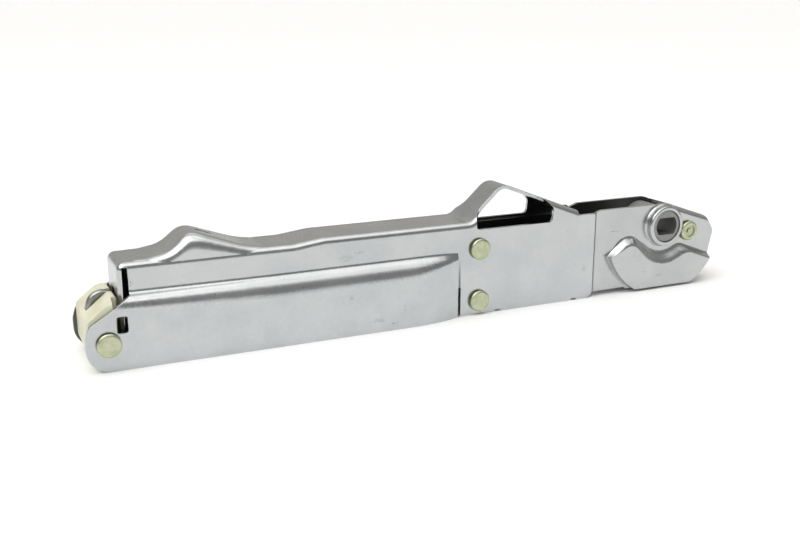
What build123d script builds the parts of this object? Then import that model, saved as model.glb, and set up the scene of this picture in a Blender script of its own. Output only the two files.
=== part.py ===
"""Spring counterbalance hinge for an appliance lid, in millimetres.

The origin is on the axis of the turning hub, midway between the two side walls. X runs along the arm towards
its nose, Y goes away from the viewer and Z is up. Each sheet piece is an outer envelope less the same envelope
set in by one sheet thickness.
"""

import math
import os

from build123d import *

# Sheet metal
SHEET = 1.2
BEND = 2.2
FLANGE_BEND = 2.6
NEST_GAP = 0.05

# Main channel: narrow spine above, wide spring bay below
CHANNEL_HALF = 10.0
BAY_HALF = 14.0
BASE_Z = -25.8
SPINE_LEFT = -215.8
SPINE_Z = 8.1
MID_Z = 9.4
STEP_ROUND = 12.0
DIP_X = -157.0
MID_X = -146.0
CHANNEL_RIGHT = -34.0
CHANNEL_RIGHT_Z = 8.0
FLANGE_END_Z = -14.6
FLANGE_NOTCH = (2.4, -1.8)
CURL_RIGHT = -214.4
CORNER_SLOT_RIGHT = -212.5
CORNER_SLOT_TOP = 6.6
BAY_LEFT = -227.7
BAY_CHAMFER_Z = -10.5
BAY_CHAMFER_TOP_Z = -2.0
BAY_CORNER = 8.0
RIDGE_CREASE = 1.6
RIDGE_LEFT = (-230.0, -1.6, -2.9, 3.0)
RIDGE_MIDDLE = (-165.0, -1.7, -4.6, 7.2)
RIDGE_TAPER = (-114.0, -1.5, -4.6, 6.5)
RIDGE_END = (-1.3, -3.8, 2.0)
TAPER_DEPTH = 3.4
TAPER_STEPS = 7
SLIT_X = -93.45
SLIT_WIDTH = 1.3

# Hump on the spine: height of its crown above the spine at each share of its length
HUMP_LEFT = -212.0
HUMP_RIGHT = -163.0
HUMP_SINK = 0.25
HUMP_ROUND_SHARE = 0.35
HUMP_CROWN = ((0.0, -0.8), (0.10, 0.5), (0.18, 1.0), (0.26, 2.0), (0.33, 4.4), (0.385, 6.6), (0.43, 7.3),
              (0.48, 7.0), (0.56, 5.6), (0.65, 4.0), (0.745, 2.3), (0.84, 1.0), (0.92, 0.3), (1.0, -0.8))
HUMP_OVERLAP = 0.3
HUMP_SLOT_X = -185.6
HUMP_SLOT = (5.5, 2.4)

# Strap that rises to a peak over the side windows
PEAK_FOOT_X = -88.0
PEAK_X = -73.8
PEAK_Z = 22.3
PEAK_ROUND = 6.0
PEAK_FOOT_ROUND = 5.0
STRAP_END_X = -41.5
STRAP_END_Z = 9.7
STRAP_HALF = 6.0
STRAP_NECK_ROUND = 5.0
STRAP_SLOT_X = -65.5
STRAP_SLOT = (5.0, 3.2)
WINDOW_LEFT = -86.5
WINDOW_RIGHT = -53.6
WINDOW_SILL_Z = 6.5
WINDOW_HEAD_X = -58.5
WINDOW_HEAD_Z = 16.8

# Small cuts in the channel walls
PEEP_CENTRE = (-215.9, -10.75)
PEEP_SIZE = (3.6, 5.5)
NOTCHES_X = (-77.0, -42.5)
NOTCH = (2.2, 0.7)

# Front bracket
BRACKET_LEFT = -92.0
BRACKET_TOP_Z = 8.7
BRACKET_LOW_TOP_Z = 5.4
BRACKET_STEP_X = (-40.0, -30.5)
BRACKET_BASE_Z = -23.9
NOSE_TOP_X = 2.5
NOSE_SLOPE = 0.342
NOSE_X = 26.4
NOSE_TIP_Z = -4.5
NOSE_SHOULDER = 4.0
NOSE_HEEL = (24.3, -13.9)
NOSE_LOW = (22.7, -19.6)
NOSE_BASE_X = 18.6
NOSE_BEND = 2.2
WEB_LEFT = 5.0

# Hub, its collars and its double-D socket
HUB_R = 6.5
RUN_CLEARANCE = 0.05
COLLAR_R = 8.1
COLLAR_HEIGHT = 3.0
COLLAR_LIP = 0.7
COLLAR_FOOT = 0.6
HUB_RECESS = 0.4
HUB_CHAMFER = 0.4
SOCKET_R = 5.0
SOCKET_FLATS = 7.0
BOSS_R = 7.25

# Crank and its swing, angles seen from the front
CRANK_RADIUS = 21.0
CRANK_REST_DEG = 208.0
CRANK_END_R = 4.8
CRANK_CHEEK = 4.0
CRANK_SLOT_HALF = 2.4
SIDE_PLAY = 0.3
PIN_R = 3.5
PIN_HEAD_R = 4.4
PIN_HEAD = 1.6

# Lobes pressed outwards in the bracket walls, which clear the heads of the crank pin
LOBE_RISE = 2.7
LOBE_INNER_CLEARANCE = 6.2
LOBE_VALLEY_RUN = 5.1
LOBE_DOME_OFFSET = (1.6419, -0.7411)
LOBE_DOME_CLEARANCE = 3.25
LOBE_DOME_RUN = 3.6
LOBE_OUTER_CLEARANCE = 3.0
LOBE_START_DEG = 201.7
LOBE_LEVELS = 5
LOBE_LEAVE_DEG = 294.0
LOBE_HIP_OFFSET = (4.5699, 1.5009)
LOBE_HIP_ROUND = 6.0
LOBE_FALL = 0.37
LOBE_BROW_RUN = 2.3
LOBE_BASE_Z = -24.7
LOBE_BASE_X = -16.6

# Pull link
LINK_LENGTH = 100.0
LINK_HALF = 2.0
LINK_HEIGHT = 9.0
LINK_EYE_R = 6.5
LINK_TAIL_R = 7.2
LINK_HOOK_R = 4.0
BUSH_WALL = 0.7

# Tension spring
WIRE = 2.6
COIL_R = 7.6
COIL_LEFT = -203.0
COIL_SHANK = 19.5
HOOK_R = 5.5
HOOK_GAP = 0.5
HOOK_LEAVE = 2.5
HOOK_CRANK = 3.5
HOOK_BEND = 3.0

# Rivets
RIVET_R = 2.5
RIVET_HEAD_R = 4.0
RIVET_HEAD = 1.7
RIVET_TAIL_R = 3.3
RIVET_TAIL = 0.7
HOLE_GAP = 0.05
BRACKET_RIVET_X = -85.2
BRACKET_RIVETS_Z = (-0.6, -20.4)
ANCHOR_RIVET = (-220.5, -16.7)
STOP_RIVET = (13.0, -3.4)
STOP_SLEEVE_R = 3.1
DIMPLE_R = 2.4
DIMPLE_BUTTON_R = 1.2
DIMPLE_DEPTH = 0.4
END_PLAY = 0.05

# Nylon anchor block
BLOCK_GAP = 0.1
BLOCK_LEFT = -226.4
BLOCK_RIGHT = -216.6
BLOCK_TOP_Z = -2.6
BLOCK_BASE_Z = -24.4
BLOCK_SLOT_HALF = 2.0
POST_X = -219.6
POST_R = 2.7
POST_Z = -7.6
HOOK_SEAT = 0.1
BLOCK_SHOULDER_Z = -9.2
BLOCK_CREST_X = -218.2
BLOCK_STEP_X = -218.3
BLOCK_STEP_HALF = 8.8

PIN_X = CRANK_RADIUS * math.cos(math.radians(CRANK_REST_DEG))
PIN_Z = CRANK_RADIUS * math.sin(math.radians(CRANK_REST_DEG))
LOBE_VALLEY_R = CRANK_RADIUS - PIN_HEAD_R - LOBE_INNER_CLEARANCE
LOBE_OUTER_R = CRANK_RADIUS + PIN_HEAD_R + LOBE_OUTER_CLEARANCE
LOBE_HIP = (
    LOBE_VALLEY_R * math.cos(math.radians(LOBE_LEAVE_DEG)) + LOBE_HIP_OFFSET[0],
    LOBE_VALLEY_R * math.sin(math.radians(LOBE_LEAVE_DEG)) + LOBE_HIP_OFFSET[1],
)
LOBE_DOME = (PIN_X + LOBE_DOME_OFFSET[0], PIN_Z + LOBE_DOME_OFFSET[1])
LOBE_DOME_R = PIN_HEAD_R + LOBE_DOME_CLEARANCE
LINK_TAIL_X = PIN_X - LINK_LENGTH
COIL_TURNS = round((LINK_TAIL_X - COIL_SHANK - COIL_LEFT) / WIRE)
BUSH_R = PIN_R + RUN_CLEARANCE + BUSH_WALL
CHANNEL_INNER = CHANNEL_HALF - SHEET
BRACKET_HALF = CHANNEL_INNER - NEST_GAP
BRACKET_INNER = BRACKET_HALF - SHEET
STRAP_FALL = (STRAP_END_Z - PEAK_Z) / (STRAP_END_X - PEAK_X)
FAR = 60.0


def outline(*corners):
    """Closed flat outline through corners (x, z, radius), each corner rounded by its own radius."""
    face = make_face(Polyline(*[(x, z) for x, z, _ in corners], close=True)).face()
    for x, z, radius in corners:
        if radius > 0:
            face = face.fillet_2d(radius, [face.vertices().sort_by_distance((x, z, 0))[0]])
    return face


def set_in(run, distance):
    """Open run of corners (x, z, radius) moved to its right by a distance, with its radii to match."""
    moved = []
    for i, (x, z, radius) in enumerate(run):
        before = run[max(i - 1, 0)]
        arrive = Vector(x - before[0], z - before[1]) if i else Vector(run[1][0] - x, run[1][1] - z)
        leave = Vector(run[i + 1][0] - x, run[i + 1][1] - z) if i < len(run) - 1 else arrive
        arrive = arrive.normalized()
        leave = leave.normalized()
        side = Vector(arrive.Y + leave.Y, -arrive.X - leave.X) / (1 + arrive.dot(leave))
        turns_right = arrive.X * leave.Y - arrive.Y * leave.X < 0
        if radius:
            radius += -distance if turns_right else distance
        moved.append((x + side.X * distance, z + side.Y * distance, radius))
    return moved


def across(face, half):
    """Plate standing in the side view, from a flat outline, reaching half to each side of the middle."""
    return extrude(Plane.XZ * face, amount=half, both=True)


def drum(x, z, radius, y_from, y_to):
    """Round bar across the arm between two depths."""
    return Pos(x, (y_from + y_to) / 2, z) * Rot(90, 0, 0) * Cylinder(radius, abs(y_to - y_from))


def block(x_from, x_to, y_from, y_to, z_from, z_to):
    """Rectangular block between limits."""
    middle = Pos((x_from + x_to) / 2, (y_from + y_to) / 2, (z_from + z_to) / 2)
    return middle * Box(x_to - x_from, y_to - y_from, z_to - z_from)


def both_sides(solid):
    """A solid and its mirror image on the other side of the arm."""
    return solid + mirror(solid, about=Plane.XZ)


def turned(x, z, side, *corners):
    """Turned piece from corners (radius, distance from the middle, rounding), on one side of the arm."""
    solid = revolve(Plane.XZ * outline(*corners), Axis.Z)
    return Pos(x, 0, z) * Rot(-90 * side, 0, 0) * solid


# Main channel


def spine_section(x, half, height, radius):
    """Rounded cross-section of the spine at one station."""
    face = make_face(Polyline((-half, FLANGE_END_Z), (-half, height), (half, height), (half, FLANGE_END_Z),
                              close=True)).face()
    face = face.fillet_2d(radius, face.vertices().sort_by(Axis.Y)[-2:])
    return Plane(origin=(x, 0, 0), x_dir=(0, 1, 0), z_dir=(1, 0, 0)) * face


def hump(inset):
    """Domed stretch that rises out of the spine, as a loft through its stations."""
    length = HUMP_RIGHT - HUMP_LEFT
    half = CHANNEL_HALF - HUMP_SINK - inset
    sections = []
    for share, crown in HUMP_CROWN:
        radius = BEND + max(crown, 0) * HUMP_ROUND_SHARE + HUMP_OVERLAP - inset
        height = SPINE_Z - HUMP_SINK + crown - inset
        sections.append(spine_section(HUMP_LEFT + share * length, half, height, radius))
    return loft(sections)


def spine_outline(inset):
    """Side view of the narrow part of the channel, set in by the sheet thickness for its inside."""
    run = set_in(
        [
            (SPINE_LEFT, FLANGE_END_Z, 0),
            (SPINE_LEFT, SPINE_Z, FLANGE_BEND),
            (DIP_X, SPINE_Z, STEP_ROUND),
            (MID_X, MID_Z, STEP_ROUND),
            (PEAK_FOOT_X, MID_Z, PEAK_FOOT_ROUND),
            (PEAK_X, PEAK_Z, PEAK_ROUND),
            (STRAP_END_X, STRAP_END_Z, 0),
        ],
        inset,
    )
    low = BASE_Z - (FAR if inset else 0)
    left = SLIT_X + SLIT_WIDTH / 2
    foot = FLANGE_END_Z - inset
    run[0] = (run[0][0], foot, 0)
    run[-1] = (STRAP_END_X, run[-1][1] + (STRAP_END_X - run[-1][0]) * STRAP_FALL, 0)
    return outline(*run, (STRAP_END_X, low, 0), (left, low, 0), (left, foot, 0))


def spine(inset):
    """Narrow part of the channel as a solid, bent over along its top."""
    half = CHANNEL_HALF - inset
    solid = across(spine_outline(inset), half)
    top = [
        edge
        for edge in solid.edges()
        if abs(abs(edge.center().Y) - half) < 1e-3
        and (edge.center().Z > SPINE_Z - inset - 4 or edge.center().X < SPINE_LEFT + inset + 0.05)
        and edge.center().X < STRAP_END_X - 1
    ]
    bent = fillet(top, BEND - inset)
    if inset:
        return bent + block(STRAP_END_X, CHANNEL_RIGHT + FAR, -half, half, BASE_Z - FAR, FAR)
    tail = outline((STRAP_END_X, CHANNEL_RIGHT_Z, 0), (CHANNEL_RIGHT, CHANNEL_RIGHT_Z, 0.8), (CHANNEL_RIGHT, BASE_Z, 3),
                   (STRAP_END_X, BASE_Z, 0))
    return bent + across(tail, half)


def ridge_section(station, narrowing, inset):
    """Cross-section of the wide walls at one station: a crease, a sloped ridge and a rounded shoulder."""
    x, crease_z, shoulder_z, shoulder_round = station
    half = BAY_HALF - narrowing
    run = set_in(
        [
            (CHANNEL_HALF, SPINE_Z - BEND, 0),
            (CHANNEL_HALF, crease_z, RIDGE_CREASE),
            (half, shoulder_z, shoulder_round),
            (half, BASE_Z - (FAR if inset else 0), 0),
        ],
        inset,
    )
    section = outline(*run, *[(-y, z, r) for y, z, r in reversed(run)])
    return Plane(origin=(x, 0, 0), x_dir=(0, 1, 0), z_dir=(1, 0, 0)) * section


def bay(inset):
    """Wide lower part of the channel, through its stations; towards the slit it curves in to the narrow walls."""
    end = (SLIT_X - SLIT_WIDTH / 2, *RIDGE_END)
    sections = [ridge_section(station, 0, inset) for station in (RIDGE_LEFT, RIDGE_MIDDLE, RIDGE_TAPER)]
    for step in range(1, TAPER_STEPS + 1):
        share = step / TAPER_STEPS
        station = [a + (b - a) * share for a, b in zip(RIDGE_TAPER, end)]
        sections.append(ridge_section(station, TAPER_DEPTH * share * share, inset))
    return loft(sections, ruled=True)


def bay_side():
    """Side view of the wide walls: chamfered upper corner and rounded lower corner at the left end."""
    right = SLIT_X - SLIT_WIDTH / 2
    return outline(
        (CORNER_SLOT_RIGHT, FAR, 0),
        (CORNER_SLOT_RIGHT, BAY_CHAMFER_TOP_Z, 0.6),
        (BAY_LEFT + 1.2, BAY_CHAMFER_Z, 4),
        (BAY_LEFT, BAY_CHAMFER_Z - 4, 4),
        (BAY_LEFT, BASE_Z, BAY_CORNER),
        (right, BASE_Z, 0),
        (right, FAR, 0),
    )


def end_flange():
    """End of the spine bent down, curled back at both sides and notched for the spring's hook."""
    plate = (spine(0) - spine(SHEET)) & block(SPINE_LEFT - 1, CURL_RIGHT, -FAR, FAR, FLANGE_END_Z, CORNER_SLOT_TOP)
    half, top = FLANGE_NOTCH
    return plate - block(SPINE_LEFT - 2, SPINE_LEFT + FAR, -half, half, -FAR, top)


def main_channel():
    """The stamped channel: envelope less its inside, then its windows, slots, notches and rivet holes."""
    envelope = spine(0) + hump(0) + (bay(0) & across(bay_side(), FAR))
    inside = spine(SHEET) + hump(SHEET) + bay(SHEET)
    sheet = envelope - inside + end_flange()
    window = outline(
        (WINDOW_LEFT, WINDOW_SILL_Z, 1.6),
        (WINDOW_RIGHT, WINDOW_SILL_Z, 1.6),
        (WINDOW_RIGHT + 0.5, WINDOW_SILL_Z + 5.4, 2.4),
        (WINDOW_HEAD_X, WINDOW_HEAD_Z, 0),
        (WINDOW_HEAD_X, FAR, 0),
        (WINDOW_LEFT, FAR, 0),
    )
    neck = outline((WINDOW_LEFT, -FAR, 0), (WINDOW_LEFT, -STRAP_HALF, STRAP_NECK_ROUND), (0, -STRAP_HALF, 0),
                   (0, -FAR, 0))
    sheet -= both_sides(extrude(Plane.XZ * window, amount=FAR) & extrude(neck, amount=2 * FAR, both=True))
    slot = block(CURL_RIGHT, CORNER_SLOT_RIGHT, CHANNEL_HALF - BEND - 1, CHANNEL_HALF + 1, FLANGE_END_Z - 1,
                 CORNER_SLOT_TOP)
    sheet -= both_sides(slot)
    peep = Pos(*PEEP_CENTRE) * RectangleRounded(*PEEP_SIZE, 0.8)
    sheet -= both_sides(extrude(Plane.XZ.offset(CHANNEL_HALF + 0.5) * peep, amount=FAR))
    sheet -= block(HUMP_SLOT_X - HUMP_SLOT[0] / 2, HUMP_SLOT_X + HUMP_SLOT[0] / 2, -HUMP_SLOT[1] / 2,
                   HUMP_SLOT[1] / 2, SPINE_Z - 2, FAR)
    sheet -= block(STRAP_SLOT_X - STRAP_SLOT[0] / 2, STRAP_SLOT_X + STRAP_SLOT[0] / 2, -STRAP_SLOT[1] / 2,
                   STRAP_SLOT[1] / 2, MID_Z, FAR)
    for x in NOTCHES_X:
        sheet -= block(x - NOTCH[0] / 2, x + NOTCH[0] / 2, -FAR, FAR, BASE_Z - 1, BASE_Z + NOTCH[1])
    for z in BRACKET_RIVETS_Z:
        sheet -= drum(BRACKET_RIVET_X, z, RIVET_R + HOLE_GAP, -FAR, FAR)
    sheet -= drum(*ANCHOR_RIVET, RIVET_R + HOLE_GAP, -FAR, FAR)
    return sheet


# Front bracket


def on_circle(centre, radius, angle):
    """Point of a circle at an angle in radians."""
    return centre[0] + radius * math.cos(angle), centre[1] + radius * math.sin(angle)


def lobe_outline(share, inset):
    """Side view of one lobe part way up its slope: a dome over the pin, a valley round the hub, a hip, a brow."""
    valley = LOBE_VALLEY_R + LOBE_VALLEY_RUN * share + inset
    dome = LOBE_DOME_R - LOBE_DOME_RUN * share - inset
    start = on_circle((0, 0), LOBE_OUTER_R + 0.2, math.radians(LOBE_START_DEG))
    back = math.atan2(start[1] - LOBE_DOME[1], start[0] - LOBE_DOME[0])
    reach = math.hypot(start[1] - LOBE_DOME[1], start[0] - LOBE_DOME[0])
    rise = on_circle(LOBE_DOME, dome, back - math.acos(dome / reach))
    facing = math.atan2(-LOBE_DOME[1], -LOBE_DOME[0])
    turn = facing + math.acos((dome + valley) / math.hypot(*LOBE_DOME))
    crown = on_circle(LOBE_DOME, dome, math.radians(90))
    neck = on_circle(LOBE_DOME, dome, turn)
    fall = on_circle((0, 0), -valley, turn)
    leave = math.radians(LOBE_LEAVE_DEG)
    low = on_circle((0, 0), valley, (turn + math.pi + leave) / 2)
    end = on_circle((0, 0), valley, leave)
    brow_z = LOBE_HIP[1] - (LOBE_BROW_RUN * share + inset) * math.hypot(1, LOBE_FALL)
    slope = -math.cos(leave) / math.sin(leave)
    hip_x = (brow_z + LOBE_FALL * LOBE_HIP[0] - end[1] + slope * end[0]) / (slope + LOBE_FALL)
    hip = (hip_x, end[1] + slope * (hip_x - end[0]))
    right = (FAR, hip[1] - LOBE_FALL * (FAR - hip[0]))
    edge = Polyline(end, hip, right, (FAR, -FAR), (-FAR, -FAR), (-FAR, start[1]), start, rise)
    curves = [ThreePointArc(rise, crown, neck), Line(neck, fall), ThreePointArc(fall, low, end), *edge.edges()]
    face = make_face(curves).face()
    return face.fillet_2d(LOBE_HIP_ROUND, [face.vertices().sort_by_distance((*hip, 0))[0]])


def lobe(inset):
    """Lobe pressed out of the near wall: an S-shaped slope above, and a sheared edge along its outer arc."""
    start = BRACKET_HALF - inset
    corner = inset * LOBE_RISE / (LOBE_RISE + LOBE_VALLEY_RUN)
    levels = []
    for step in range(LOBE_LEVELS + 1):
        share = step / LOBE_LEVELS
        height = LOBE_RISE * share * share * (3 - 2 * share)
        levels.append(Pos(0, 0, height) * lobe_outline(share, corner))
    raised = Plane.XZ.offset(start) * loft(levels)
    return raised & drum(0, 0, LOBE_OUTER_R - inset, -FAR, 0)


def bracket_side():
    """Side view of the bracket walls, with the nose above and the lobe's free edge below."""
    shoulder = NOSE_X - NOSE_SHOULDER
    return outline(
        (BRACKET_LEFT, BRACKET_LOW_TOP_Z, 2),
        (BRACKET_STEP_X[0], BRACKET_LOW_TOP_Z, 3),
        (BRACKET_STEP_X[1], BRACKET_TOP_Z, 1.2),
        (NOSE_TOP_X, BRACKET_TOP_Z, 5),
        (shoulder, BRACKET_TOP_Z - (shoulder - NOSE_TOP_X) * NOSE_SLOPE, 3),
        (NOSE_X, NOSE_TIP_Z, 3),
        (*NOSE_HEEL, 0.5),
        (*NOSE_LOW, 2),
        (NOSE_BASE_X, LOBE_BASE_Z, 1.5),
        (LOBE_BASE_X, LOBE_BASE_Z, 0),
        (LOBE_BASE_X - 0.8, BRACKET_BASE_Z, 0),
        (BRACKET_LEFT, BRACKET_BASE_Z, 2),
    )


def bracket_nose(inset):
    """Covered nose of the bracket, bent over along its sloped top."""
    half = BRACKET_HALF - inset
    line = set_in([(NOSE_TOP_X, BRACKET_TOP_Z, 0), (FAR, BRACKET_TOP_Z - (FAR - NOSE_TOP_X) * NOSE_SLOPE, 0)], inset)
    (x0, z0, _), (x1, z1, _) = line
    web_z = z0 + (WEB_LEFT - x0) * (z1 - z0) / (x1 - x0)
    solid = across(outline((WEB_LEFT, web_z, 0), (x1, z1, 0), (x1, -FAR, 0), (WEB_LEFT, -FAR, 0)), half)
    top = [edge for edge in solid.edges() if abs(abs(edge.center().Y) - half) < 1e-3 and edge.center().Z > z1 + 5]
    top = [edge for edge in top if WEB_LEFT + 1 < edge.center().X < x1 - 1]
    return fillet(top, NOSE_BEND - inset)


def front_bracket():
    """The stamped bracket: two walls joined over the nose, with hub collars, lobes and rivet holes."""
    open_part = block(BRACKET_LEFT - FAR, WEB_LEFT, -FAR, FAR, -FAR, FAR)
    side = across(bracket_side(), BRACKET_HALF)
    envelope = (side & open_part) + (side & bracket_nose(0))
    collar = drum(0, 0, COLLAR_R, -BRACKET_HALF - COLLAR_HEIGHT, -BRACKET_INNER)
    lip = collar.edges().filter_by_position(Axis.Y, -FAR, -BRACKET_HALF - COLLAR_HEIGHT + 0.01)
    collar = fillet(lip, COLLAR_LIP)
    foot = turned(0, 0, -1, (COLLAR_R - 0.2, BRACKET_HALF - 0.5, 0), (COLLAR_R + COLLAR_FOOT, BRACKET_HALF - 0.5, 0),
                  (COLLAR_R + COLLAR_FOOT, BRACKET_HALF, 0), (COLLAR_R + 0.3, BRACKET_HALF + 0.4, 0),
                  (COLLAR_R, BRACKET_HALF + COLLAR_FOOT, 0), (COLLAR_R - 0.2, BRACKET_HALF + COLLAR_FOOT, 0))
    pressed = lobe(0) & across(bracket_side(), FAR)
    envelope += both_sides(pressed + collar + (foot & across(bracket_side(), FAR)))
    inside = across(outline((BRACKET_LEFT - FAR, -FAR, 0), (WEB_LEFT, -FAR, 0), (WEB_LEFT, FAR, 0),
                            (BRACKET_LEFT - FAR, FAR, 0)), BRACKET_INNER)
    inside += bracket_nose(SHEET)
    inside += both_sides(lobe(SHEET))
    sheet = envelope - inside
    sheet -= drum(0, 0, HUB_R + RUN_CLEARANCE, -FAR, FAR)
    sheet -= drum(*STOP_RIVET, RIVET_R + HOLE_GAP, -FAR, FAR)
    for z in BRACKET_RIVETS_Z:
        sheet -= drum(BRACKET_RIVET_X, z, RIVET_R + HOLE_GAP, -FAR, FAR)
    return sheet


# Rivets and sleeve


def head(level):
    """Corners of a drum-shaped rivet head that stands on a level."""
    return (RIVET_HEAD_R, level, 0), (RIVET_HEAD_R, level + RIVET_HEAD, 0.8), (0, level + RIVET_HEAD, 0)


def bracket_rivets():
    """Four short rivets that hold the bracket in the channel."""
    tail = BRACKET_INNER - RIVET_TAIL
    corners = ((0, tail, 0), (RIVET_TAIL_R, tail, 0.3), (RIVET_TAIL_R, BRACKET_INNER, 0), (RIVET_R, BRACKET_INNER, 0),
               (RIVET_R, CHANNEL_HALF, 0), *head(CHANNEL_HALF))
    return Compound(
        [turned(BRACKET_RIVET_X, z, side, *corners).solid() for z in BRACKET_RIVETS_Z for side in (-1, 1)]
    )


def long_rivet(place, level):
    """Rivet from wall to wall with a head on each side."""
    return both_sides(turned(*place, -1, (0, 0, 0), (RIVET_R, 0, 0), (RIVET_R, level, 0), *head(level)))


def stop_rivet():
    """Rivet through the nose: its near end is rolled over and keeps a ring-shaped dimple."""
    rivet = long_rivet(STOP_RIVET, BRACKET_HALF)
    face = BRACKET_HALF + RIVET_HEAD
    ring = drum(*STOP_RIVET, DIMPLE_R, -face - 1, -face + DIMPLE_DEPTH)
    return rivet - (ring - drum(*STOP_RIVET, DIMPLE_BUTTON_R, -FAR, 0))


def stop_sleeve():
    """Sleeve that keeps the nose walls apart and stops the crank."""
    half = BRACKET_INNER - END_PLAY
    return drum(*STOP_RIVET, STOP_SLEEVE_R, -half, half) - drum(*STOP_RIVET, RIVET_R + HOLE_GAP, -FAR, FAR)


# Anchor block and spring


def anchor_block():
    """Nylon block held by the anchor rivet, with a slot and a cross post for the spring's hook."""
    room = bay(SHEET + BLOCK_GAP)
    body = across(outline((BLOCK_LEFT, BLOCK_BASE_Z, 5), (BLOCK_LEFT, BLOCK_SHOULDER_Z, 2),
                          (BLOCK_CREST_X, BLOCK_TOP_Z, 2), (BLOCK_RIGHT, BLOCK_TOP_Z, 0.5),
                          (BLOCK_RIGHT, BLOCK_BASE_Z, 2)), BAY_HALF)
    body &= room
    body -= both_sides(block(BLOCK_STEP_X, FAR, BLOCK_STEP_HALF, FAR, -FAR, FAR))
    reach = POST_R + HOOK_SEAT + WIRE + BLOCK_GAP
    slot_left = POST_X - reach
    slot_floor = POST_Z - reach
    slot = across(outline((slot_left, slot_floor, reach * 0.6), (FAR, slot_floor, 0), (FAR, FAR, 0),
                          (slot_left, FAR, 0)), BLOCK_SLOT_HALF)
    post = drum(POST_X, POST_Z, POST_R, -BLOCK_SLOT_HALF - 1, BLOCK_SLOT_HALF + 1)
    return body - slot + post - drum(*ANCHOR_RIVET, RIVET_R + HOLE_GAP, -FAR, FAR)


def tension_spring():
    """Close-wound spring: a ridged coil with a hook round the post and a hook through the pull link."""
    crest = COIL_R + WIRE / 2
    bore = COIL_R - WIRE / 2
    right = COIL_LEFT + COIL_TURNS * WIRE
    ridges = [(COIL_LEFT + turn * WIRE / 2, crest if turn % 2 else crest - WIRE * 0.3)
              for turn in range(2 * COIL_TURNS + 1)]
    coil = revolve(make_face(Polyline((COIL_LEFT, bore), *ridges, (right, bore), close=True)), Axis.X)
    coil = Pos(0, 0, PIN_Z) * coil
    loop = POST_R + HOOK_SEAT + WIRE / 2
    low = PIN_Z - COIL_R
    leave = COIL_LEFT - HOOK_LEAVE
    start = Plane.XZ * FilletPolyline((COIL_LEFT + 1, low), (leave, low), (leave - 1.3 * HOOK_CRANK, POST_Z - loop),
                                      (POST_X, POST_Z - loop), radius=HOOK_BEND)
    ring = Plane.XZ * CenterArc((POST_X, POST_Z), loop, 270, -240)
    left_hook = wire_sweep(start, ring)
    eye_x = LINK_TAIL_X - LINK_HOOK_R + WIRE / 2 + HOOK_GAP - HOOK_R
    leave = right + HOOK_LEAVE
    start = FilletPolyline((right - 1, -COIL_R), (leave, -COIL_R), (leave + HOOK_CRANK, -HOOK_R), (eye_x, -HOOK_R),
                           radius=HOOK_BEND)
    ring = CenterArc((eye_x, 0), HOOK_R, 270, 240)
    right_hook = Pos(0, 0, PIN_Z) * wire_sweep(start, ring)
    return coil + left_hook + right_hook


def wire_sweep(start, ring):
    """Round wire along a start and a ring that continue each other."""
    path = Wire([*start.edges(), *ring.edges()])
    return sweep(path.location_at(0) * Circle(WIRE / 2), path=path)


# Crank and pull link


def drive_crank():
    """Hub and forked arm in one piece, with the double-D socket right through."""
    hub_half = BRACKET_HALF + COLLAR_HEIGHT - HUB_RECESS
    hub = drum(0, 0, HUB_R, -hub_half, hub_half)
    hub = chamfer(hub.edges().filter_by(GeomType.CIRCLE), HUB_CHAMFER)
    boss_half = BRACKET_INNER - SIDE_PLAY
    body = hub + drum(0, 0, BOSS_R, -boss_half, boss_half)
    arm = make_hull([*Circle(BOSS_R).edges(), *(Pos(PIN_X, PIN_Z) * Circle(CRANK_END_R)).edges()])
    body += both_sides(extrude(Plane.XZ.offset(CRANK_SLOT_HALF) * arm, amount=CRANK_CHEEK))
    socket = Circle(SOCKET_R) & Rectangle(2 * SOCKET_R + 1, SOCKET_FLATS)
    return body - across(socket, FAR) - drum(PIN_X, PIN_Z, PIN_R + HOLE_GAP, -FAR, FAR)


def crank_pin():
    """Headed pin through the fork; its heads run in the lobes."""
    level = CRANK_SLOT_HALF + CRANK_CHEEK
    return both_sides(turned(PIN_X, PIN_Z, -1, (0, 0, 0), (PIN_R, 0, 0), (PIN_R, level, 0), (PIN_HEAD_R, level, 0),
                             (PIN_HEAD_R, level + PIN_HEAD, 0.8), (0, level + PIN_HEAD, 0)))


def pull_link():
    """Flat bar with an eye for the crank pin and a hole for the spring's hook."""
    half = LINK_HEIGHT / 2
    bar = make_face(Polyline((LINK_TAIL_X, PIN_Z - half), (PIN_X, PIN_Z - half), (PIN_X, PIN_Z + half),
                             (LINK_TAIL_X, PIN_Z + half), close=True))
    plate = bar + Pos(PIN_X, PIN_Z) * Circle(LINK_EYE_R) + Pos(LINK_TAIL_X, PIN_Z) * Circle(LINK_TAIL_R)
    plate -= Pos(PIN_X, PIN_Z) * Circle(BUSH_R + HOLE_GAP)
    plate -= Pos(LINK_TAIL_X, PIN_Z) * Circle(LINK_HOOK_R)
    return across(plate, LINK_HALF)


def link_bush():
    """Nylon bush between the eye and the crank pin."""
    half = LINK_HALF + 0.1
    return drum(PIN_X, PIN_Z, BUSH_R, -half, half) - drum(PIN_X, PIN_Z, PIN_R + RUN_CLEARANCE, -FAR, FAR)


NODES = {
    "main_channel": main_channel(),
    "front_bracket": front_bracket(),
    "bracket_rivets": bracket_rivets(),
    "anchor_rivet": long_rivet(ANCHOR_RIVET, BAY_HALF),
    "stop_rivet": stop_rivet(),
    "stop_sleeve": stop_sleeve(),
    "anchor_block": anchor_block(),
    "tension_spring": tension_spring(),
    "drive_crank": drive_crank(),
    "crank_pin": crank_pin(),
    "pull_link": pull_link(),
    "link_bush": link_bush(),
}
os.makedirs("parts", exist_ok=True)
for name, solid in NODES.items():
    export_step(solid, "parts/" + name + ".step")
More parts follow.
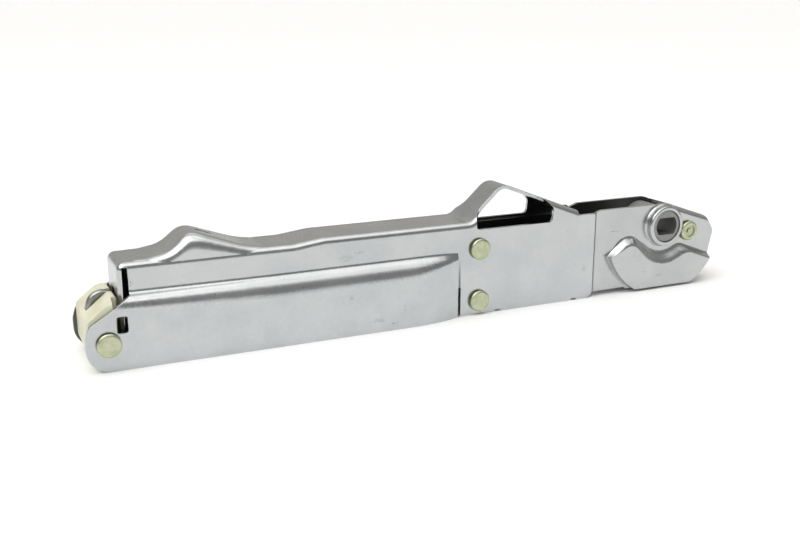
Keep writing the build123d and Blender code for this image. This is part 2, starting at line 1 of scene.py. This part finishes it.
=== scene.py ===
"""Looks of the spring-loaded lid hinge: zinc sheet, rivets, nylon block, coil spring, crank and pull link."""
import math

import bpy
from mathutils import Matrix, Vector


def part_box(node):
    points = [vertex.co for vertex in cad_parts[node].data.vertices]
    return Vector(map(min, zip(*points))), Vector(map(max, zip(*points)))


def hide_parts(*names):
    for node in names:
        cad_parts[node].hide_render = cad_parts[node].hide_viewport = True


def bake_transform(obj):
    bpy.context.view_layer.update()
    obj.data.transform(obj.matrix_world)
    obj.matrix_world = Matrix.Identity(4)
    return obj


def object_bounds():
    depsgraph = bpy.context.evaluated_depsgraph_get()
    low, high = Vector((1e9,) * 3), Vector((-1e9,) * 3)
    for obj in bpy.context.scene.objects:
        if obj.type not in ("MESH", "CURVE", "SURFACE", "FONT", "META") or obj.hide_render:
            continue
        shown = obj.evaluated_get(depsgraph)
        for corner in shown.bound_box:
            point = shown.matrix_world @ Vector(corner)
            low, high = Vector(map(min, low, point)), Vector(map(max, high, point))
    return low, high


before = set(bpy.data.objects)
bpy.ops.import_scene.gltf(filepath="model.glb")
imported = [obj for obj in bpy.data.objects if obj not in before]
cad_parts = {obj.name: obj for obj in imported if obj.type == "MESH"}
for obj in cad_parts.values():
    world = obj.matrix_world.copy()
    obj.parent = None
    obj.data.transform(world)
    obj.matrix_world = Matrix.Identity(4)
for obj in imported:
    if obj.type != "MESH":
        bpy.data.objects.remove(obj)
solid_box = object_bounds()


# Main channel
# One long stamping of zinc-plated steel sheet, folded down on both sides of the spine and set out round the
# spring bay. The plating is bright and slightly cloudy, worn shiny on the folds and edges, which are also
# lightened as a painted highlight, grainy where it is pressed, and painted dark as shade inside and along its
# gaps.


class Socket:
    """One output of a material's nodes. Sums on it add the Math nodes that work them out."""

    def __init__(self, tree, output):
        self.tree = tree
        self.output = output

    def node(self, kind, settings, sockets, output=0):
        """Adds a node of this kind with its settings and the values or links of its sockets."""
        made = self.tree.nodes.new(kind)
        for name, value in settings.items():
            setattr(made, name, value)
        for name, value in sockets.items():
            if isinstance(value, Socket):
                self.tree.links.new(value.output, made.inputs[name])
            else:
                made.inputs[name].default_value = value
        return Socket(self.tree, made.outputs[output])

    def math(self, operation, first, second):
        return self.node("ShaderNodeMath", {"operation": operation}, {0: first, 1: second})

    def __add__(self, other):
        return self.math("ADD", self, other)

    __radd__ = __add__

    def __sub__(self, other):
        return self.math("SUBTRACT", self, other)

    def __rsub__(self, other):
        return self.math("SUBTRACT", other, self)

    def __mul__(self, other):
        return self.math("MULTIPLY", self, other)

    __rmul__ = __mul__

    def spread(self, low, high):
        """0 below low, 1 above high, smooth between."""
        smooth = {"interpolation_type": "SMOOTHSTEP"}
        return self.node("ShaderNodeMapRange", smooth, {0: self, 1: low, 2: high})

    def colours(self, low, high):
        """A mix of two colours by this value."""
        return self.mixed((*low, 1), (*high, 1))

    def mixed(self, low, high):
        """A mix by this value of two colours that may themselves be outputs."""
        return self.node("ShaderNodeMix", {"data_type": "RGBA"}, {0: self, 6: low, 7: high}, 2)

    def noise(self, scale, detail=3, rough=0.55, stretch=(1, 1, 1)):
        """Cloudy pattern on the piece; scale is in lumps per metre."""
        place = self.node("ShaderNodeMapping", {}, {0: self, "Scale": stretch})
        lumps = {"Vector": place, "Scale": scale, "Detail": detail, "Roughness": rough}
        return self.node("ShaderNodeTexNoise", {}, lumps)


def blank_finish(name):
    """A new material, its shader and its place on the piece."""
    material = bpy.data.materials.new(name)
    material.use_nodes = True
    tree = material.node_tree
    shader = tree.nodes["Principled BSDF"]
    place = Socket(tree, tree.nodes.new("ShaderNodeTexCoord").outputs["Object"])
    return material, shader, place


def feed(shader, **inputs):
    """Links values to the shader's inputs, or sets them there."""
    for name, value in inputs.items():
        socket = shader.inputs[name.replace("_", " ")]
        if isinstance(value, Socket):
            value.tree.links.new(value.output, socket)
        else:
            socket.default_value = value


def worn_sheen_edges(place, radius):
    """1 on edges, which are worn bright and also carry a painted highlight, 0 on flat sheet."""
    rounded = place.node("ShaderNodeBevel", {"samples": 6}, {"Radius": radius})
    flat = place.node("ShaderNodeNewGeometry", {}, {}, "True Normal")
    along = place.node("ShaderNodeVectorMath", {"operation": "DOT_PRODUCT"}, {0: rounded, 1: flat}, "Value")
    return (1 - along).spread(0.01, 0.12)


def smudge(place, centre, reach):
    """1 in the middle of a spot on the piece, fading to 0 at its reach along each axis."""
    offset = place.node("ShaderNodeVectorMath", {"operation": "SUBTRACT"}, {0: place, 1: centre})
    scaled = place.node("ShaderNodeVectorMath", {"operation": "DIVIDE"}, {0: offset, 1: reach})
    far = place.node("ShaderNodeVectorMath", {"operation": "LENGTH"}, {0: scaled}, "Value")
    return 1 - far.spread(0.3, 1.0)


def facing_across(place):
    """How far the surface faces along Y, from -1 to 1."""
    facing = place.node("ShaderNodeTexCoord", {}, {}, "Normal")
    return facing.node("ShaderNodeSeparateXYZ", {}, {0: facing}, "Y")


def zinc_sheet(name, dull, bright, scuffs, gap_shade, pressed):
    """Bright zinc plate with scuffs, a painted shade line along a seam gap, grain where it is pressed, and
    painted shade on its inner faces.
    """
    material, shader, place = blank_finish(name)
    clouds = place.noise(60, 4, 0.6)
    spangle = place.noise(900, 3, 0.6)
    waves = place.noise(38, 2, 0.4)
    rubbed_sheen = worn_sheen_edges(place, 0.0005)
    scratch = place.noise(2600, 3, 0.7, (0.6, 1, 1.6)).spread(0.54, 0.60)
    marks = scratch * sum(smudge(place, *scuff) for scuff in scuffs)
    grain = smudge(place, *pressed)
    side = place.node("ShaderNodeSeparateXYZ", {}, {0: place}, "Y")
    # Painted shade: faces turned in towards the middle of the piece are darkened to near black.
    inner_shade = (0 - facing_across(place) * side).spread(0.002, 0.005)
    # The scuff marks are real dirt; the seam gap line and the inner faces are painted shade.
    dirt_and_shade = marks * 0.75 + smudge(place, *gap_shade) * 0.75 + inner_shade * 0.88
    # The edge term lightens edges both as wear and as a painted highlight.
    tone = clouds.spread(0.3, 0.7) * 0.55 + spangle.spread(0.35, 0.65) * 0.25 + rubbed_sheen * 0.5
    base = dirt_and_shade.mixed(tone.colours(dull, bright), (0.06, 0.065, 0.06, 1))
    plate = 0.17 + 0.08 * clouds + 0.08 * spangle
    rough = plate + 0.25 * marks - 0.05 * rubbed_sheen + 0.1 * inner_shade + 0.05 * grain
    soft_edge = place.node("ShaderNodeBevel", {"samples": 6}, {"Radius": 0.0003})
    height = waves + spangle * (0.02 + 0.14 * grain)
    dents = {"Strength": 0.25, "Distance": 0.0004, "Height": height, "Normal": soft_edge}
    relief = place.node("ShaderNodeBump", {}, dents)
    feed(shader, Base_Color=base, Roughness=rough, Normal=relief, Metallic=1.0)
    return material


CHANNEL_SCUFFS = (
    ((-0.1280, -0.014, -0.0216), (0.0040, 0.002, 0.0011)),
    ((-0.1215, -0.014, -0.0230), (0.0022, 0.002, 0.0009)),
    ((-0.1174, -0.014, -0.0180), (0.0006, 0.002, 0.0022)),
    ((-0.1380, -0.010, 0.0014), (0.0045, 0.002, 0.0016)),
    ((-0.2118, -0.010, 0.0016), (0.0009, 0.002, 0.0016)),
    ((-0.1865, -0.014, -0.0048), (0.0030, 0.004, 0.0012)),
    ((-0.0382, -0.010, -0.0138), (0.0012, 0.002, 0.0018)),
    ((-0.1378, -0.014, -0.0114), (0.0012, 0.002, 0.0012)),
    ((-0.1330, -0.010, 0.0030), (0.0028, 0.002, 0.0007)),
    ((-0.0470, -0.010, 0.0022), (0.0010, 0.002, 0.0006)),
)
RIDGE = ((-0.155, -0.012, -0.005), (0.09, 0.007, 0.005))
# Painted shade line down the slit in the channel's side.
SLIT_SHADE = ((-0.0933, -0.010, -0.015), (0.0006, 0.004, 0.0135))
CHANNEL_DULL = (0.48, 0.50, 0.51)
CHANNEL_BRIGHT = (0.60, 0.615, 0.62)
main_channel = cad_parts["main_channel"]
main_channel.data.materials.clear()
channel_zinc = zinc_sheet("channel_zinc", CHANNEL_DULL, CHANNEL_BRIGHT, CHANNEL_SCUFFS, SLIT_SHADE, RIDGE)
main_channel.data.materials.append(channel_zinc)


# Front bracket
# The second stamping, of the same plated sheet, nested in the channel's right end and riveted there.
# It carries the hub's collars and is pressed out round the path of the crank pin.

BRACKET_SCUFFS = (
    ((-0.0235, -0.009, -0.0004), (0.0075, 0.002, 0.0003)),
    ((-0.0098, -0.0115, -0.0177), (0.0012, 0.002, 0.0009)),
    ((-0.0026, -0.0115, -0.0200), (0.0018, 0.002, 0.0006)),
)
VALLEY = ((0.0005, -0.0105, -0.0125), (0.014, 0.004, 0.005))
# Painted shade line where the channel's end laps over the bracket.
LAP_SHADE = ((-0.0330, -0.009, -0.008), (0.0007, 0.004, 0.5))
BRACKET_DULL = (0.465, 0.48, 0.485)
BRACKET_BRIGHT = (0.58, 0.595, 0.59)
front_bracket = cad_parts["front_bracket"]
front_bracket.data.materials.clear()
bracket_zinc = zinc_sheet("bracket_zinc", BRACKET_DULL, BRACKET_BRIGHT, BRACKET_SCUFFS, LAP_SHADE, VALLEY)
front_bracket.data.materials.append(bracket_zinc)


# Rivets
# Solid steel rivets with flat drum heads, in yellow passivated zinc that shades from green to straw.
# The sides of the heads are painted dark as shade.


def yellow_zinc(name):
    """Yellow passivated zinc with its uneven tint and painted shade on the heads' sides."""
    material, shader, place = blank_finish(name)
    tint = place.noise(420, 3, 0.6)
    grain = place.noise(2600, 2, 0.5)
    rubbed_sheen = worn_sheen_edges(place, 0.0004)
    # The edge term lightens edges both as wear and as a painted highlight.
    tone = tint.spread(0.35, 0.65) * 0.7 + rubbed_sheen * 0.5
    across = facing_across(place)
    # Painted shade: faces that do not face along Y, the drum sides of the heads, are darkened.
    side_shade = (1 - across * across).spread(0.90, 0.99)
    base = (side_shade * 0.75).mixed(tone.colours((0.45, 0.49, 0.31), (0.63, 0.64, 0.48)), (0.07, 0.07, 0.05, 1))
    rough = 0.26 + 0.16 * tint + 0.06 * grain
    soft_edge = place.node("ShaderNodeBevel", {"samples": 6}, {"Radius": 0.00025})
    dents = {"Strength": 0.08, "Distance": 0.0003, "Height": grain, "Normal": soft_edge}
    relief = place.node("ShaderNodeBump", {}, dents)
    feed(shader, Base_Color=base, Roughness=rough, Normal=relief, Metallic=1.0)
    return material


rivet_finish = yellow_zinc("rivet_yellow_zinc")
for name in ("bracket_rivets", "anchor_rivet", "stop_rivet"):
    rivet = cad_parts[name]
    rivet.data.materials.clear()
    rivet.data.materials.append(rivet_finish)


# Anchor block, stop sleeve and link bush
# Moulded natural nylon, cream and slightly translucent, with a fine matt skin.
# The block and the sleeve sit on their rivets, and the bush is pressed into the link's eye.


def cream_nylon(name):
    """Moulded natural nylon."""
    material, shader, place = blank_finish(name)
    cloud = place.noise(160, 3, 0.5)
    skin = place.noise(3200, 2, 0.5)
    base = cloud.spread(0.3, 0.7).colours((0.60, 0.59, 0.42), (0.72, 0.71, 0.56))
    relief = place.node("ShaderNodeBump", {}, {"Strength": 0.12, "Distance": 0.0003, "Height": skin})
    feed(shader, Base_Color=base, Roughness=0.42 + 0.12 * skin, Normal=relief, Subsurface_Weight=0.25)
    shader.inputs["Subsurface Radius"].default_value = (0.004, 0.003, 0.0015)
    shader.inputs["Subsurface Scale"].default_value = 0.6
    return material


nylon_finish = cream_nylon("cream_nylon")
for name in ("anchor_block", "stop_sleeve", "link_bush"):
    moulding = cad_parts[name]
    moulding.data.materials.clear()
    moulding.data.materials.append(nylon_finish)


# Tension spring
# Close-wound coil of oiled spring wire with a hook at each end: one goes round the block's post, the other
# through the tail of the pull link.

WIRE = 0.0026
COIL_R = 0.0076
COIL_LEFT = -0.203
COIL_TURNS = 25
COIL_RIGHT = COIL_LEFT + COIL_TURNS * WIRE
COIL_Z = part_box("pull_link")[0][2] / 2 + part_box("pull_link")[1][2] / 2
POST = (-0.2196, -0.0076)
POST_LOOP = 0.0041
LINK_HOLE_EDGE = 0.0032
HOOK_SEAT = 0.0018
EYE_R = 0.0055
EYE_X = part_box("pull_link")[0][0] + LINK_HOLE_EDGE + HOOK_SEAT - EYE_R
HOOK_BEND = 0.003
HOOK_LEAD = 0.0025
POST_CLIMB_RUN = 0.00455
EYE_SLANT_RUN = 0.0035
HOOK_TURN = math.radians(240)
WIRE_SIDES = 14
OPEN_TURNS = 1.25

bpy.ops.object.select_all(action="DESELECT")
upright = (math.pi / 2, 0, 0)
bpy.ops.mesh.primitive_circle_add(vertices=WIRE_SIDES, radius=WIRE / 2, location=(0, 0, 0), rotation=upright)
spring = bpy.context.object
spring.name = "coil_spring"
bpy.ops.object.transform_apply(location=False, rotation=True, scale=False)
bpy.ops.object.mode_set(mode="EDIT")
bpy.ops.mesh.select_all(action="SELECT")
bpy.ops.transform.translate(value=(WIRE / 2, 0, -COIL_R))
bpy.ops.object.mode_set(mode="OBJECT")
winding = spring.modifiers.new("winding", "SCREW")
winding.axis = "X"
winding.angle = math.tau * (COIL_TURNS - OPEN_TURNS)
winding.screw_offset = WIRE * (COIL_TURNS - OPEN_TURNS)
winding.iterations = 1
winding.steps = 28 * (COIL_TURNS - 1)
winding.render_steps = winding.steps
winding.use_smooth_shade = True
bpy.ops.object.modifier_apply(modifier="winding")
spring.location = (COIL_LEFT, 0, COIL_Z)
bpy.ops.object.transform_apply(location=True, rotation=False, scale=False)


def bent_wire(name, start, runs):
    """Round wire from a start along X; its runs are moves (x, y, z) and turns (angle, centre, axis)."""
    bpy.ops.object.select_all(action="DESELECT")
    along = (0, math.pi / 2, 0)
    bpy.ops.mesh.primitive_circle_add(vertices=WIRE_SIDES, radius=WIRE / 2, location=start, rotation=along)
    wire = bpy.context.object
    wire.name = name
    bpy.ops.object.transform_apply(location=True, rotation=True, scale=False)
    bpy.ops.object.mode_set(mode="EDIT")
    bpy.ops.mesh.select_all(action="SELECT")
    bpy.ops.mesh.edge_face_add()
    for run in runs:
        if len(run) == 3 and isinstance(run[1], tuple):
            angle, centre, axis = run
            steps = max(4, round(abs(angle) * 7))
            bpy.ops.mesh.spin(steps=steps, angle=-angle, center=centre, axis=axis)
        else:
            bpy.ops.mesh.extrude_region_move(TRANSFORM_OT_translate={"value": run})
    bpy.ops.mesh.select_all(action="SELECT")
    bpy.ops.mesh.remove_doubles(threshold=0.00001)
    bpy.ops.mesh.normals_make_consistent(inside=False)
    bpy.ops.object.mode_set(mode="OBJECT")
    bpy.ops.object.shade_smooth_by_angle(angle=math.radians(40))
    return wire


low = COIL_Z - COIL_R
climb = math.atan2(POST[1] - POST_LOOP - low, POST_CLIMB_RUN)
trim = HOOK_BEND * math.tan(climb / 2)
span = math.hypot(POST[1] - POST_LOOP - low, POST_CLIMB_RUN) - 2 * trim
bend_x = COIL_LEFT - HOOK_LEAD + trim
upper_x = COIL_LEFT - HOOK_LEAD - POST_CLIMB_RUN - trim
left_hook = bent_wire("left_hook", (COIL_LEFT + WIRE / 2, 0, low), [
    (bend_x - COIL_LEFT - WIRE / 2, 0, 0),
    (climb, (bend_x, 0, low + HOOK_BEND), (0, 1, 0)),
    (-span * math.cos(climb), 0, span * math.sin(climb)),
    (-climb, (upper_x, 0, POST[1] - POST_LOOP - HOOK_BEND), (0, 1, 0)),
    (POST[0] - upper_x, 0, 0),
    (HOOK_TURN, (POST[0], 0, POST[1]), (0, 1, 0)),
])

slant = math.atan2(COIL_R - EYE_R, EYE_SLANT_RUN)
trim = HOOK_BEND * math.tan(slant / 2)
span = math.hypot(COIL_R - EYE_R, EYE_SLANT_RUN) - 2 * trim
bend_x = COIL_RIGHT + HOOK_LEAD - trim
inner_x = COIL_RIGHT + HOOK_LEAD + EYE_SLANT_RUN + trim
right_hook = bent_wire("right_hook", (COIL_RIGHT - 0.75 * WIRE, -COIL_R, COIL_Z), [
    (bend_x - COIL_RIGHT + 0.75 * WIRE, 0, 0),
    (slant, (bend_x, HOOK_BEND - COIL_R, COIL_Z), (0, 0, 1)),
    (span * math.cos(slant), span * math.sin(slant), 0),
    (-slant, (inner_x, -EYE_R - HOOK_BEND, COIL_Z), (0, 0, 1)),
    (EYE_X - inner_x, 0, 0),
    (HOOK_TURN, (EYE_X, 0, COIL_Z), (0, 0, 1)),
])
bpy.ops.object.select_all(action="DESELECT")
left_hook.select_set(True)
right_hook.select_set(True)
spring.select_set(True)
bpy.context.view_layer.objects.active = spring
bpy.ops.object.join()


def spring_wire(name):
    """Oiled drawn wire."""
    material, shader, place = blank_finish(name)
    oil = place.noise(260, 3, 0.6)
    base = oil.spread(0.3, 0.7).colours((0.20, 0.205, 0.20), (0.36, 0.365, 0.355))
    feed(shader, Base_Color=base, Roughness=0.24 + 0.2 * oil, Metallic=1.0)
    return material


spring.data.materials.append(spring_wire("oiled_wire"))
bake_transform(spring)
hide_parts("tension_spring")


# Crank and its pin
# The hub and forked arm are one piece of pressed powder steel, dull grey and finely speckled.
# The pin is turned from bright steel.


def powder_steel(name):
    """Dull pressed powder steel."""
    material, shader, place = blank_finish(name)
    speckle = place.noise(2400, 3, 0.7)
    patch = place.noise(180, 3, 0.5)
    rubbed_sheen = worn_sheen_edges(place, 0.0004)
    # The edge term lightens edges both as wear and as a painted highlight.
    base = (speckle * 0.5 + patch * 0.3 + rubbed_sheen * 0.5).colours((0.22, 0.22, 0.215), (0.46, 0.46, 0.45))
    relief = place.node("ShaderNodeBump", {}, {"Strength": 0.15, "Distance": 0.0003, "Height": speckle})
    feed(shader, Base_Color=base, Roughness=0.42 + 0.2 * speckle, Normal=relief, Metallic=0.9)
    return material


def turned_steel(name):
    """Bright turned steel."""
    material, shader, place = blank_finish(name)
    turning = place.noise(1800, 2, 0.5, (1, 0.1, 1))
    base = turning.colours((0.36, 0.37, 0.37), (0.55, 0.56, 0.56))
    feed(shader, Base_Color=base, Roughness=0.22 + 0.14 * turning, Metallic=1.0)
    return material


drive_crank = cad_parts["drive_crank"]
drive_crank.data.materials.clear()
drive_crank.data.materials.append(powder_steel("powder_steel"))
crank_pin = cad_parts["crank_pin"]
crank_pin.data.materials.clear()
crank_pin.data.materials.append(turned_steel("turned_steel"))


# Pull link
# Flat bar of dark oiled strip steel, punched out with an eye at one end and a hole at the other.
# It joins the crank pin to the spring's hook.


def oiled_strip(name):
    """Dark oiled strip steel."""
    material, shader, place = blank_finish(name)
    oil = place.noise(140, 4, 0.6)
    mill = place.noise(70, 3, 0.6, (0.5, 20, 20))
    rubbed_sheen = worn_sheen_edges(place, 0.0005)
    # The edge term lightens edges both as wear and as a painted highlight.
    base = (oil * 0.4 + mill * 0.3 + rubbed_sheen * 0.4).colours((0.09, 0.095, 0.09), (0.28, 0.285, 0.275))
    feed(shader, Base_Color=base, Roughness=0.30 + 0.2 * oil, Metallic=1.0)
    return material


pull_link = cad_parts["pull_link"]
pull_link.data.materials.clear()
pull_link.data.materials.append(oiled_strip("oiled_strip"))


# Floor, light and camera
# A plain white floor that runs on past the picture, in a room with a banded ceiling, a bright window high on the
# left, a grey wall behind and a darker side where the viewer stands, seen from the photo's place.

FLOOR_Z = solid_box[0][2]
bpy.ops.object.select_all(action="DESELECT")
bpy.ops.mesh.primitive_plane_add(size=60, location=(0, 0, FLOOR_Z))
floor = bpy.context.object
floor.name = "floor"
floor_paper, paper, place = blank_finish("white_paper")
feed(paper, Base_Color=(0.94, 0.94, 0.94, 1), Roughness=0.95)
floor.data.materials.append(floor_paper)

world = bpy.data.worlds.new("room")
world.use_nodes = True
room = world.node_tree
way = Socket(room, room.nodes.new("ShaderNodeTexCoord").outputs["Generated"])
up = way.node("ShaderNodeSeparateXYZ", {}, {0: way}, "Z")
AWAY = (0.42, 0.91, 0)
away = way.node("ShaderNodeVectorMath", {"operation": "DOT_PRODUCT"}, {0: way, 1: AWAY}, "Value")
wall = away.spread(-0.35, 0.55).colours((0.27, 0.27, 0.27), (0.48, 0.465, 0.44))
bands = away.math("SINE", away * 13, 0).spread(-0.6, 0.6)
ceiling = bands.colours((0.72, 0.71, 0.68), (1.45, 1.44, 1.38))
shell = up.spread(0.66, 0.82).mixed(wall, ceiling)
WINDOW = (-0.5, -0.25, 0.83)
aim = way.node("ShaderNodeVectorMath", {"operation": "DOT_PRODUCT"}, {0: way, 1: WINDOW}, "Value")
light = aim.spread(0.82, 0.94).mixed(shell, (2.9, 2.9, 2.9, 1))
room.links.new(light.output, room.nodes["Background"].inputs["Color"])
bpy.context.scene.world = world

bpy.ops.object.light_add(type="AREA", location=(-0.15, -0.35, 1.3), rotation=(math.radians(15), 0, 0))
lamp = bpy.context.object
lamp.data.shape = "RECTANGLE"
lamp.data.size = 1.6
lamp.data.size_y = 1.0
lamp.data.energy = 3

LENS_PX = 1016
bpy.ops.object.camera_add(
    location=(-0.265525, -0.326824, 0.090078),
    rotation=(math.radians(90 - 15.017), 0, math.radians(-25.038)),
)
camera = bpy.context.object
camera.data.sensor_width = 36
camera.data.lens = 36 * LENS_PX / 800
camera.data.clip_start = 0.01
bpy.context.scene.camera = camera
bpy.context.scene.view_settings.view_transform = "Standard"
